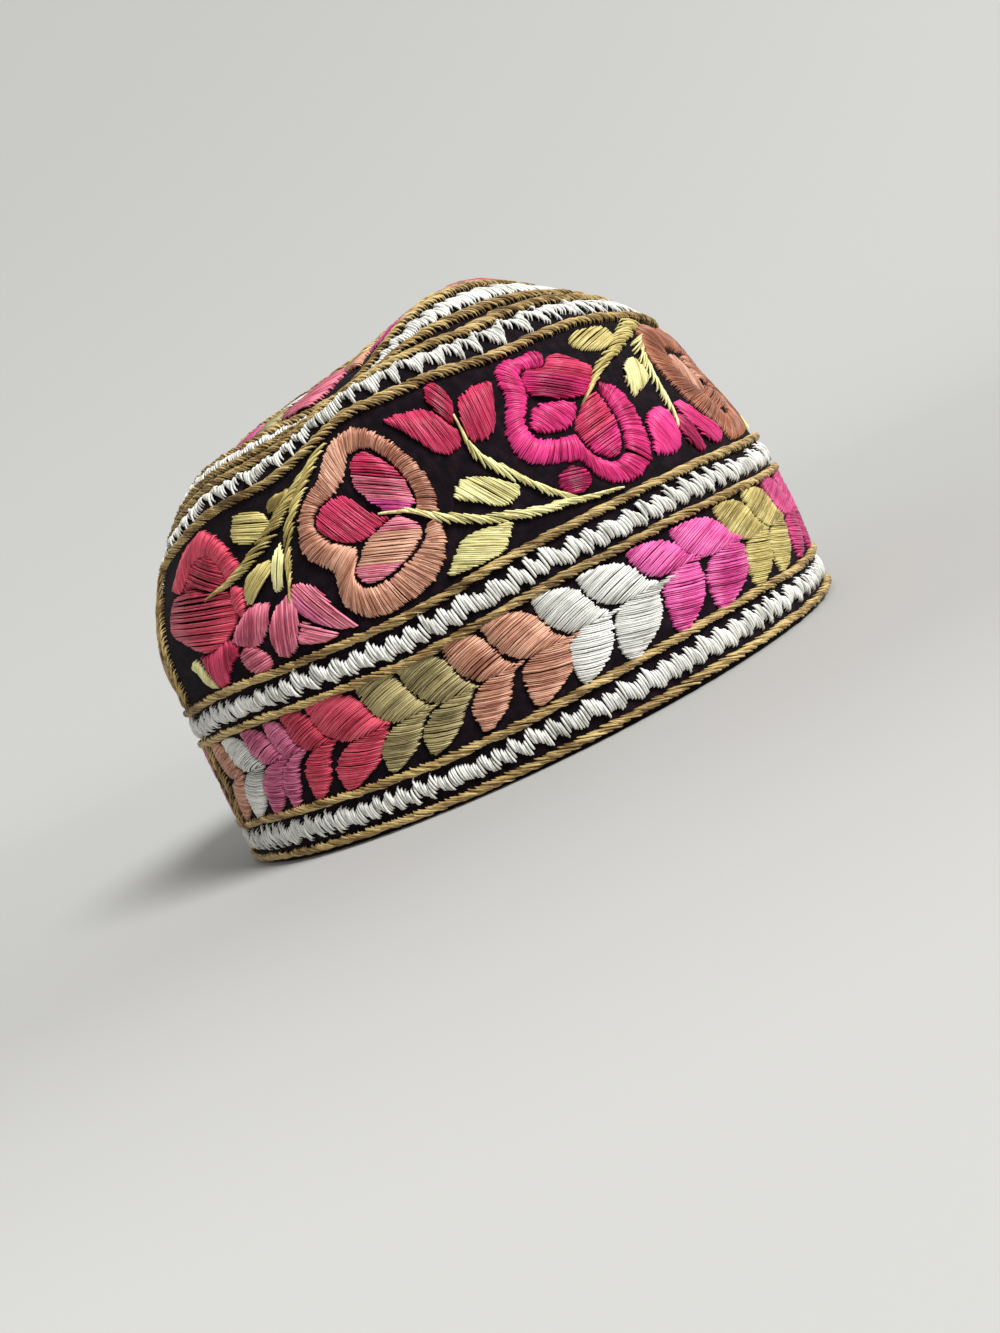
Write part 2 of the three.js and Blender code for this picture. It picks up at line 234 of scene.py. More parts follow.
def black_cotton():
    material = bpy.data.materials.new("black_cotton")
    material.use_nodes = True
    nodes, links = material.node_tree.nodes, material.node_tree.links
    shader = nodes["Principled BSDF"]
    shader.inputs["Roughness"].default_value = 0.92
    shader.inputs["Specular IOR Level"].default_value = 0.1
    shader.inputs["Sheen Weight"].default_value = 0.025
    shader.inputs["Sheen Roughness"].default_value = 0.5
    lie = nodes.new("ShaderNodeUVMap")
    lie.uv_map = "weave"
    threads = []
    for direction in ("X", "Y"):
        wave = nodes.new("ShaderNodeTexWave")
        wave.bands_direction = direction
        wave.inputs["Scale"].default_value = 0.62  # a thread every 0.5 mm
        wave.inputs["Distortion"].default_value = 0.6
        wave.inputs["Detail"].default_value = 1.0
        links.new(lie.outputs["UV"], wave.inputs["Vector"])
        threads.append(wave)
    weave = nodes.new("ShaderNodeMath")
    weave.operation = "MAXIMUM"
    links.new(threads[0].outputs["Fac"], weave.inputs[0])
    links.new(threads[1].outputs["Fac"], weave.inputs[1])
    bump = nodes.new("ShaderNodeBump")
    bump.inputs["Strength"].default_value = 0.5
    bump.inputs["Distance"].default_value = 0.15 * MM
    links.new(weave.outputs[0], bump.inputs["Height"])
    links.new(bump.outputs["Normal"], shader.inputs["Normal"])
    lint = nodes.new("ShaderNodeTexNoise")
    lint.inputs["Scale"].default_value = 0.35
    lint.inputs["Detail"].default_value = 8
    links.new(lie.outputs["UV"], lint.inputs["Vector"])
    dye = colour_ramp(nodes, [(0.3, (7, 3, 7)), (0.55, (17, 9, 15)), (0.8, (38, 24, 34))])
    links.new(lint.outputs["Fac"], dye.inputs["Fac"])
    links.new(dye.outputs["Color"], shader.inputs["Base Color"])
    return material


# Edges of the cloths, up from the rim. Then each cloth: its name and the CAD's, its thickness as an
# outline, whether that is a closed loop, its flat size, and its flat area where the size doesn't give it.
LEAF_TOP = MID + 0.15
FLOWER_FOOT = LEAF_TOP
FLOWER_TOP = 103
DISC_EDGE = FLOWER_TOP
CLOTHS = [
    ("leaf_strip", "leaf_band", strip_outline(0, LEAF_TOP), True, (0.572, 0.0435), None),
    ("flower_strip", "flower_band", strip_outline(FLOWER_FOOT, FLOWER_TOP), True, (0.572, 0.0605), 0.032),
    ("crown_cloth", "crown_disc", disc_outline(DISC_EDGE), False, (0.15, 0.164), 0.019),
]
cotton = black_cotton()
for name, node, outline, closed, flat, area in CLOTHS:
    cloth = spun_cloth(name, outline, closed)
    cloth.data.materials.append(cotton)
    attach(cloth, "root")
    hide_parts(node)

# Borders
# Each border is a white zigzag band between two stem-stitched cords of gold-coloured thread. A cord is
# a row of overlapping slanted stitches, and the band is upright stitches of floss in pointed bunches.
random = np.random.default_rng(7)
SEAM = -99  # place along the cap of the seam behind the ear, where the borders start
STRAND = 0.56  # width of a strand of silk
STRAND_HIGH = 0.4
STRAND_TOP = 0.6  # how wide its top is, as a share of its foot
DIVE = 0.55  # distance over which a stitch comes up out of the cloth
UNDER = -0.4  # how deep its ends lie in the cloth
RINGS = 6  # along a strand
SIDES = 4  # round it
CORD_CREST = 1.7  # how high a cord stands above the cloth
BAND_CREST = 1.4


def wall(along, up):
    """Turn and distance up of places on the two strips."""
    return turn_at(along), up


def stitches(start, end, crest, width=STRAND, bow=0.0, tone=0.5):
    """A row of numbers for each stitch: its two ends, height, width, sideways bow and tone."""
    count = len(start)
    columns = [np.broadcast_to(value, count) for value in (crest, width, bow, tone)]
    return np.column_stack([start, end, *columns])


def wander(count, reach):
    """A slow random drift from stitch to stitch, about -1 to 1."""
    knots = random.uniform(-1, 1, count // reach + 4)
    return np.interp(np.arange(count) / reach, np.arange(len(knots)), knots)


def sew(name, rows, material, nodes=(), place=wall, dive=DIVE):
    """Joins all the stitches of a piece in one mesh. Each is a thin closed strand of four sides."""
    start, end = rows[:, None, 0:2], rows[:, None, 2:4]
    crest, width, bow, tone = (rows[:, None, i] for i in range(4, 8))
    count = len(rows)
    run = end - start
    length = np.maximum(np.linalg.norm(run, axis=-1), 0.1)
    dive = np.minimum(dive / length, 0.25)
    share = np.concatenate([0 * dive, dive, 0.35 + 0 * dive, 0.65 + 0 * dive, 1 - dive, 1 + 0 * dive], axis=1)
    rise = np.array([0, 0.74, 1, 1, 0.74, 0])
    swelling = np.array([0.4, 0.86, 1, 1, 0.86, 0.4])
    sideways = np.stack([-run[..., 1], run[..., 0]], -1) / length[..., None]
    spots = start + run * share[..., None] + sideways * (bow * length * np.sin(np.pi * share))[..., None]
    turn, up = place(spots[..., 0], spots[..., 1])
    up = np.clip(up, 0.05, APEX)
    normal = face_normal(turn, up)
    out = UNDER + (crest - UNDER) * rise
    top = face_point(turn, up) + normal * out[..., None]
    ahead = unit(np.gradient(top, axis=1))
    side = unit(np.cross(ahead, normal)) * (width * swelling / 2)[..., None]
    foot = top - normal * STRAND_HIGH
    top_side = side * STRAND_TOP
    rings = np.stack([foot - side, top - top_side, top + top_side, foot + side], axis=2) * MM
    rings[..., 2] = np.maximum(rings[..., 2], 0)

    corner = np.arange(SIDES)
    around = np.column_stack([np.roll(corner, -1), np.roll(corner, -1) + SIDES, corner + SIDES, corner])
    tube = (around + SIDES * np.arange(RINGS - 1)[:, None, None]).reshape(-1, 4)
    ends = np.vstack([corner, corner[::-1] + SIDES * (RINGS - 1)])
    strand = np.vstack([tube, ends]).ravel()
    corners = (strand + SIDES * RINGS * np.arange(count)[:, None]).ravel()

    mesh = bpy.data.meshes.new(name)
    mesh.vertices.add(rings.size // 3)
    mesh.vertices.foreach_set("co", rings.ravel())
    mesh.loops.add(len(corners))
    mesh.loops.foreach_set("vertex_index", corners)
    mesh.polygons.add(len(corners) // 4)
    mesh.polygons.foreach_set("loop_start", np.arange(0, len(corners), 4))
    mesh.polygons.foreach_set("use_smooth", np.ones(len(corners) // 4, bool))
    mesh.update(calc_edges=True)

    # A painted highlight lifts the tone a little where a stitch bends down, and the map runs across and along
    # the strand
    # painted highlight: a random lift of the tone at the two rings where each strand bends into the cloth
    tip_highlight = np.array([0, 1, 0, 0, 1, 0]) * random.uniform(-0.1, 0.7, (count, 1))
    tone_and_highlight = mesh.attributes.new("tone", "FLOAT", "POINT")
    tone_and_highlight.data.foreach_set("value", np.repeat((tone + tip_highlight).ravel(), SIDES))
    across = np.array([0, 0.3, 0.7, 1]) + 9 * random.uniform(0, 1, (count, 1, 1)) + 0 * share[..., None]
    down = (share * length)[..., None] + 50 * random.uniform(0, 1, (count, 1, 1)) + 0 * across
    lie = np.stack([across, down], -1).reshape(-1, 2)
    mesh.uv_layers.new(name="strand").data.foreach_set("uv", lie[corners].ravel())
    mesh.materials.append(material)
    piece = bpy.data.objects.new(name, mesh)
    bpy.context.scene.collection.objects.link(piece)
    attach(piece, "root")
    if nodes:
        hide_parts(*nodes)
    return piece


def thread(name, deep, middle, light, roughness=0.36):
    """Silk or gold-coloured thread. Each strand has its own tone between deep and light, and fine fibres."""
    material = bpy.data.materials.new(name)
    material.use_nodes = True
    nodes, links = material.node_tree.nodes, material.node_tree.links
    shader = nodes["Principled BSDF"]
    shader.inputs["Specular IOR Level"].default_value = 0.3
    # The tone attribute holds each strand's own tone and also the painted highlight where the strand bends
    # down
    tone = nodes.new("ShaderNodeAttribute")
    tone.attribute_name = "tone"
    lie = nodes.new("ShaderNodeUVMap")
    lie.uv_map = "strand"
    drawn = nodes.new("ShaderNodeMapping")
    drawn.inputs["Scale"].default_value = (4.5, 0.3, 1)
    links.new(lie.outputs["UV"], drawn.inputs["Vector"])
    fibre = nodes.new("ShaderNodeTexNoise")
    fibre.inputs["Scale"].default_value = 1.0
    fibre.inputs["Detail"].default_value = 2
    links.new(drawn.outputs["Vector"], fibre.inputs["Vector"])
    streak = nodes.new("ShaderNodeMapRange")
    streak.inputs["From Min"].default_value = 0.3
    streak.inputs["From Max"].default_value = 0.7
    streak.inputs["To Min"].default_value = -0.3
    streak.inputs["To Max"].default_value = 0.3
    links.new(fibre.outputs["Fac"], streak.inputs["Value"])
    settle = nodes.new("ShaderNodeMath")
    settle.operation = "ADD"
    links.new(streak.outputs["Result"], settle.inputs[0])
    links.new(tone.outputs["Fac"], settle.inputs[1])
    dye = colour_ramp(nodes, [(0.0, deep), (0.5, middle), (1.0, light)])
    links.new(settle.outputs[0], dye.inputs["Fac"])
    links.new(dye.outputs["Color"], shader.inputs["Base Color"])
    gloss = nodes.new("ShaderNodeMapRange")
    gloss.inputs["To Min"].default_value = roughness - 0.08
    gloss.inputs["To Max"].default_value = roughness + 0.12
    links.new(fibre.outputs["Fac"], gloss.inputs["Value"])
    links.new(gloss.outputs["Result"], shader.inputs["Roughness"])
    bump = nodes.new("ShaderNodeBump")
    bump.inputs["Strength"].default_value = 0.6
    bump.inputs["Distance"].default_value = 0.08 * MM
    links.new(fibre.outputs["Fac"], bump.inputs["Height"])
    links.new(bump.outputs["Normal"], shader.inputs["Normal"])
    return material


def cord_stitches(line, width, lay, step, crest=CORD_CREST, strand=0.64, ragged=0.28):
    """Slanted stitches of length "lay" that overlap along a line of (along, up) points."""
    gaps = np.linalg.norm(np.diff(line, axis=0), axis=1)
    travelled = np.append(0, np.cumsum(gaps))
    count = max(int(travelled[-1] / step), 2)
    places = np.linspace(0, travelled[-1], count)
    middle = np.column_stack([np.interp(places, travelled, line[:, i]) for i in (0, 1)])
    ahead = unit(np.gradient(middle, axis=0))
    across = np.column_stack([ahead[:, 1], -ahead[:, 0]])
    widths = np.interp(np.linspace(0, 1, count), np.linspace(0, 1, np.size(width)), np.ravel(width))[:, None]
    reach = lay / 2 * (1 + 0.14 * random.uniform(-1, 1, (count, 1)))
    half = np.maximum(widths - strand, 0) / 2 * (1 + ragged * random.uniform(-1, 1, (count, 2)))
    start = middle - ahead * reach - across * half[:, :1]
    end = middle + ahead * reach + across * half[:, 1:]
    tone = 0.5 + 0.3 * wander(count, 6) + 0.3 * random.uniform(-1, 1, count)
    high = crest * (1 + 0.12 * random.uniform(-1, 1, count))
    wide = strand * (0.95 + 0.15 * random.uniform(-1, 1, count))
    return stitches(start, end, high, wide, 0.02, tone)


def zigzag_stitches(levels, period, pitch, lean, gather, shift, length):
    """
    Nearly upright stitches round the cap in a band that steps up and down. Its top lies between the
    first two levels and its foot between the last two. The feet are gathered at each low place.
    """
    peak, dip, high, low = levels
    count = int(length / pitch)
    places = (np.arange(count) + 0.15 * random.uniform(-1, 1, count)) * ROUND / count
    along = places + SEAM
    waves = round(length / period)
    cycle = (places * waves / ROUND + 0.45 * wander(count, 10)) % 1
    wave = np.where(cycle < STEP_UP, cycle / STEP_UP, (1 - cycle) / (1 - STEP_UP))
    swing = 1 + 0.35 * wander(count, 7)
    top = dip + (peak - dip) * wave * swing + 0.35 * random.uniform(-1, 1, count) + shift(along, "top")
    foot = low + (high - low) * wave * swing + 0.35 * random.uniform(-1, 1, count) + shift(along, "foot")
    slant = lean * (1 + 0.35 * random.uniform(-1, 1, count)) / 2 * ROUND / length
    from_low = (cycle + 0.5 - STEP_UP / 2) % 1 - 0.5
    start = np.column_stack([along + slant - gather * period * from_low, foot])
    end = np.column_stack([along - slant, top])
    tone = 0.6 + 0.2 * wander(count, 7) + 0.25 * random.uniform(-1, 1, count)
    crest = BAND_CREST * (1 + 0.15 * random.uniform(-1, 1, count))
    return stitches(start, end, crest, pitch * 1.06, 0.01, tone)


# A cord's width, the length and step of its stitches, and the distance over which they come up
CORD_WIDE, CORD_LAY, CORD_STEP, CORD_DIVE = 2.8, 6.8, 1.1, 1.0
CORD_PLACES = 800  # on the line that a cord follows round the cap
STEP_UP = 0.4  # share of each step of a band over which it rises
# Heights of the two cords. Then the band: the peaks and dips of its top, the high and low places of its
# foot, the length of a step, the distance between stitches, and how far their tops lean back and their
# feet are gathered. Last, about how long the border is round the cap.
BORDERS = {
    "rim": (1.95, 12.2, (10.6, 8.3, 5.7, 3.8), 4.9, 0.68, 0.8, 0.0, 570),
    "mid": (38.3, 48.4, (47.0, 44.5, 41.5, 39.9), 5.4, 0.78, 1.1, 0.0, 566),
    "shoulder": (92.3, 101.6, (100.4, 99.4, 98.2, 93.4), 6.2, 0.6, 0.3, 0.16, 495),
    "crown": (105.6, 114.8, (113.4, 111.2, 108.6, 106.9), 5.2, 0.7, 0.9, 0.0, 410),
}
# How far the hand-sewn borders wander up or down: places along, and the height there. The rim's lower
# parts keep closer to the edge of the cloth.
DRIFTS = {
    "rim": (
        [SEAM, -85, -60, -45, -20, 0, 10, 30, 60, 75, 95, 110],
        [0, 1.3, 1.2, 0.6, -0.4, -0.4, 0.1, 0.9, 1.5, 1.2, 0.2, 0],
    ),
    "mid": (
        [SEAM, -80, -60, -45, -30, -15, 0, 15, 30, 60, 80, 100],
        [0, 1, 0.8, -0.2, -0.8, -1.6, -1, 0.2, 0.8, 1.1, 0.7, 0],
    ),
    "shoulder": (
        [SEAM, -60, -5, 5, 15, 40, 55, 75, 100, 130],
        [0, -0.4, 1.2, 0.3, -0.3, -0.2, 0.9, 1.1, 1, 0],
    ),
    "crown": ([SEAM, 0, 100], [0, 0.3, 0]),
}
RIM_SHARES = {"low": 0.25, "foot": 0.25, "top": 0.8, "high": 0.9}
gold = thread("gold_cord", (72, 52, 26), (154, 122, 70), (218, 194, 132), roughness=0.38)
white = thread("white_silk", (132, 130, 120), (212, 212, 204), (246, 245, 240))
for border, (cord_low, cord_high, *zigzag, length) in BORDERS.items():
    def shift(along, part):
        """How far a part of the border lies above its level there."""
        share = RIM_SHARES[part] if border == "rim" else 1
        return share * np.interp(along, *DRIFTS[border])

    along = np.linspace(SEAM, ROUND + SEAM, CORD_PLACES)
    for level, up in (("low", cord_low), ("high", cord_high)):
        line = np.column_stack([along, up + shift(along, level)])
        rows = cord_stitches(line, CORD_WIDE, CORD_LAY, CORD_STEP * ROUND / length)
        name = f"{border}_cord_{level}"
        sew(f"{name}_stitched", rows, gold, [name], dive=CORD_DIVE)
    band = f"{border}_zigzag_band"
    rows = zigzag_stitches(*zigzag, shift, length)
    sew(f"{band}_stitched", rows, white, [band])

# Seam cords
# Two gold-coloured cords run up side by side where the ends of each strip meet, behind the ear on the
# wearer's right. They are stitched as the borders are.
SEAM_HALF = 2.1  # half the distance between the two
SEAM_PLACES = 40  # on the line that each follows
SEAM_SPANS = {"leaf": (13.5, 37.5), "flower": (49.8, 91.4)}  # its foot and top
for strip, (foot, top) in SEAM_SPANS.items():
    for side, along in (("rear", SEAM - SEAM_HALF), ("fore", SEAM + SEAM_HALF)):
        line = np.column_stack([np.full(SEAM_PLACES, along), np.linspace(foot, top, SEAM_PLACES)])
        name = f"{strip}_seam_cord_{side}"
        rows = cord_stitches(line, CORD_WIDE, CORD_LAY, CORD_STEP)
        sew(f"{name}_stitched", rows, gold, [name], dive=CORD_DIVE)

# Leaf sprays
# Twenty-two sprays of silk leaves follow one another round the low frieze. Each is two pairs of leaves
# in satin stitch, one pair behind the other. They meet along a vein whose tip points to the front.
PITCH = 0.43  # distance between satin stitches
PAD_CREST = 1.25
SHORTEST = 0.9  # a gap narrower than this gets no stitch


def smooth(points, closed, spans=6):
    """A smooth curve through the points."""
    knots = np.array(points, float)
    if closed:
        knots = np.vstack([knots[-1], knots, knots[:2]])
    else:
        knots = np.vstack([2 * knots[0] - knots[1], knots, 2 * knots[-1] - knots[-2]])
    before, here, after, beyond = (knots[i:len(knots) - 3 + i, None] for i in range(4))
    t = np.linspace(0, 1, spans, endpoint=False)[None, :, None]
    curve = 0.5 * (
        2 * here + (after - before) * t + (2 * before - 5 * here + 4 * after - beyond) * t**2
        + (3 * here - before - 3 * after + beyond) * t**3
    )
    curve = curve.reshape(-1, 2)
    return curve if closed else np.vstack([curve, knots[-2]])


def evenly(curve, count, uneven):
    lengths = np.append(0, np.cumsum(np.linalg.norm(np.diff(curve, axis=0), axis=1)))
    places = (np.arange(count) + uneven) * lengths[-1] / (count - 1)
    return np.column_stack([np.interp(places, lengths, curve[:, i]) for i in (0, 1)])


def finished(start, end, crest, bow, tone):
    """Satin stitches with the unevenness of hand work."""
    count = len(start)
    run = unit(end - start)
    start = start - run * (0.2 + 0.22 * random.standard_normal((count, 1)))
    end = end + run * (0.2 + 0.22 * random.standard_normal((count, 1)))
    length = np.linalg.norm(end - start, axis=1)
    low = np.minimum(1, 0.55 + 0.08 * length)
    high = crest * low * (1 + 0.08 * random.uniform(-1, 1, count))
    wide = STRAND * (1 + 0.2 * random.uniform(-1, 1, count))
    bend = bow + 0.015 * random.uniform(-1, 1, count)
    shade = tone + 0.22 * wander(count, 6) + 0.24 * random.uniform(-1, 1, count)
    return stitches(start, end, high, wide, bend, shade)


def satin(outline, angle, bow=0.0, tone=0.5, crest=PAD_CREST, pitch=PITCH):
    """Parallel stitches across a closed outline, at an angle in degrees from the line of the rim."""
    shape = smooth(outline, closed=True)
    lie = math.radians(angle)
    turned = np.array([[math.cos(lie), -math.sin(lie)], [math.sin(lie), math.cos(lie)]])
    shape = shape @ turned
    after = np.roll(shape, -1, axis=0)
    start, end = [], []
    levels = np.arange(shape[:, 1].min() + pitch / 2, shape[:, 1].max(), pitch)
    for level in levels + pitch * (0.2 * random.uniform(-1, 1, len(levels)) + 0.45 * wander(len(levels), 4)):
        crossed = (shape[:, 1] > level) != (after[:, 1] > level)
        near, far = shape[crossed], after[crossed]
        share = (level - near[:, 1]) / (far[:, 1] - near[:, 1])
        places = np.sort(near[:, 0] + share * (far[:, 0] - near[:, 0]))
        for left, right in zip(places[::2], places[1::2]):
            if right - left > SHORTEST:
                start.append((left, level))
                end.append((right, level))
    back = turned.T
    return finished(np.array(start) @ back, np.array(end) @ back, crest, bow, tone)


def banded(outer, inner, bow=0.0, tone=0.5, crest=PAD_CREST, pitch=PITCH):
    """Stitches from one edge to another, side by side along the two."""
    outer, inner = smooth(outer, closed=False), smooth(inner, closed=False)
    longest = max(np.linalg.norm(np.diff(edge, axis=0), axis=1).sum() for edge in (outer, inner))
    count = max(int(longest / (pitch * 1.08)), 3)
    uneven = 0.2 * random.uniform(-1, 1, count) + 0.4 * wander(count, 4)
    return finished(evenly(inner, count, uneven), evenly(outer, count, uneven), crest, bow, tone)


def stem(line, width, tone=0.62, crest=1.35):
    """A thin line of overlapping slanted stitches, of one width or of several spread evenly along it."""
    rows = cord_stitches(smooth(line, closed=False), width, 7, 1.0, crest, 0.62, 0.4)
    rows[:, 7] += tone - 0.5
    return rows


# Each spray's silk, how far its tip runs on past its last pair, and its pairs: the place of the upper
# leaf's tip, the height of the vein, and how far forward the lower leaf lies.
SPRAYS = [
    ("coral", 3, [(-94.5, 26.6, -2)]),
    ("white", 4, [(-84, 27.5, -2.5)]),
    ("purple", 4, [(-72, 27.5, -3), (-61.5, 27.4, -4)]),
    ("crimson", 5.4, [(-54, 26.8, -2), (-44.5, 25.1, -1.5)]),
    ("olive", 4.5, [(-29, 24.8, -2.6), (-17, 24.7, -2.8)]),
    ("coral", 10, [(-5, 25.2, -0.8), (5.8, 25.6, 2)]),
    ("white", 12, [(19, 26.3, 1), (31.3, 27.3, 0.9)]),
    ("magenta", 6.5, [(45.3, 28.4, 1.8), (58.5, 27.4, 1.8)]),
    ("straw", 4, [(74.5, 26.2, 0.8), (87.5, 26, 0)]),
]
# The sprays of the far side, all alike: how many, where they start, how far from the seam they end, the
# share of a spray at which its second pair starts, and the rest as in the table above
HIDDEN_SPRAYS = 13
HIDDEN_START = 100.5
HIDDEN_END = 6
HIDDEN_SECOND = 0.48
HIDDEN_RUN_ON, HIDDEN_VEIN, HIDDEN_FORWARD = 5, 26.2, 0.5
HIDDEN_SILKS = ["plum", "crimson", "olive", "coral", "white", "magenta", "straw"]
LAST_TIP = ROUND + SEAM - HIDDEN_END
HIDDEN_STEP = (LAST_TIP - HIDDEN_START) / HIDDEN_SPRAYS
for i in range(HIDDEN_SPRAYS):
    start = HIDDEN_START + i * HIDDEN_STEP
    silk = HIDDEN_SILKS[i % len(HIDDEN_SILKS)]
    tips = (start, start + HIDDEN_STEP * HIDDEN_SECOND)
    SPRAYS.append((silk, HIDDEN_RUN_ON, [(tip, HIDDEN_VEIN, HIDDEN_FORWARD) for tip in tips]))

# Outlines of a pair's two leaves: share of the pair's breadth, and share of the way from the vein to
# the top or the foot of the frieze.
LEAF_HIGH, LEAF_LOW = 37.5, 14.0
UPPER_ANGLE, LOWER_ANGLE = 17, -13  # of the stitches, in degrees
LEAF_BOW = 0.03
PAIR_RUN_ON = 0.6  # how far a pair's tip runs on into the next pair, as a share of its breadth
FORWARD_DEPTH = 5  # how far below the vein the lower leaf has all its forward lie
UPPER_LEAF = [
    (-0.02, 0.98), (-0.03, 0.75), (0.01, 0.52), (0.1, 0.31), (0.25, 0.13), (0.4, 0.02), (0.62, -0.02),
    (0.95, -0.02), (1.28, 0.03), (1.13, 0.2), (1.05, 0.37), (0.99, 0.56), (0.88, 0.75), (0.7, 0.91),
    (0.44, 1), (0.18, 1.02),
]
LOWER_LEAF = [
    (1.2, 0.16), (1.11, 0.32), (1.03, 0.5), (0.9, 0.67), (0.7, 0.81), (0.47, 0.94), (0.25, 1.01),
    (0.1, 0.96), (0.07, 0.72), (0.1, 0.46), (0.2, 0.25), (0.37, 0.1), (0.63, 0.01), (0.95, -0.03),
]
SILKS = {
    "gold": gold,
    "white": white,
    "coral": thread("coral_silk", (112, 62, 46), (178, 118, 92), (232, 182, 154)),
    "crimson": thread("crimson_silk", (104, 14, 34), (192, 48, 74), (234, 100, 122)),
    "rose": thread("rose_silk", (106, 10, 38), (190, 38, 78), (230, 82, 122)),
    "magenta": thread("magenta_silk", (116, 16, 70), (206, 52, 130), (244, 126, 194)),
    "cerise": thread("cerise_silk", (102, 4, 44), (194, 26, 94), (238, 70, 150)),
    "purple": thread("purple_silk", (112, 30, 68), (188, 74, 118), (232, 140, 172)),
    "pink": thread("pink_silk", (128, 42, 64), (196, 86, 110), (242, 152, 170)),
    "yellow": thread("yellow_silk", (136, 124, 70), (210, 200, 128), (248, 244, 184)),
    "straw": thread("straw_silk", (102, 86, 42), (174, 154, 86), (224, 210, 138)),
    "olive": thread("olive_silk", (80, 70, 42), (142, 128, 86), (196, 182, 128)),
    "copper": thread("copper_silk", (88, 46, 32), (134, 76, 52), (186, 120, 88)),
    "plum": thread("plum_silk", (92, 10, 46), (172, 36, 98), (222, 86, 144)),
}
for i, (silk, run_on, pairs) in enumerate(SPRAYS):
    following = SPRAYS[i + 1][2][0][0] if i + 1 < len(SPRAYS) else LAST_TIP
    starts = [pair[0] for pair in pairs] + [following]
    rows = []
    for (start, vein, forward), beyond in zip(pairs, starts[1:]):
        wide = beyond - start
        past = run_on if beyond == following else wide * PAIR_RUN_ON
        tip = 1 + past / wide
        upper = [(start + share * wide, vein + rise * (LEAF_HIGH - vein)) for share, rise in UPPER_LEAF]
        lower = [(start + share * wide, vein - fall * (vein - LEAF_LOW)) for share, fall in LOWER_LEAF]
        lower = [(along + forward * min(1, (vein - up) / FORWARD_DEPTH), up) for along, up in lower]
        vein_tip = [
            (start + (1 + tip) / 2 * wide, vein + 0.35),
            (start + tip * wide, vein + 0.3),
            (beyond + past / 2, vein - 0.7),
        ]
        rows.append(satin(upper, UPPER_ANGLE, LEAF_BOW, random.uniform(0.45, 0.65)))
        rows.append(satin(lower + vein_tip, LOWER_ANGLE, -LEAF_BOW, random.uniform(0.4, 0.6)))
    node = f"leaf_spray_{i + 1:02d}"
    sew(f"{node}_stitched", np.vstack(rows), SILKS[silk], [node])

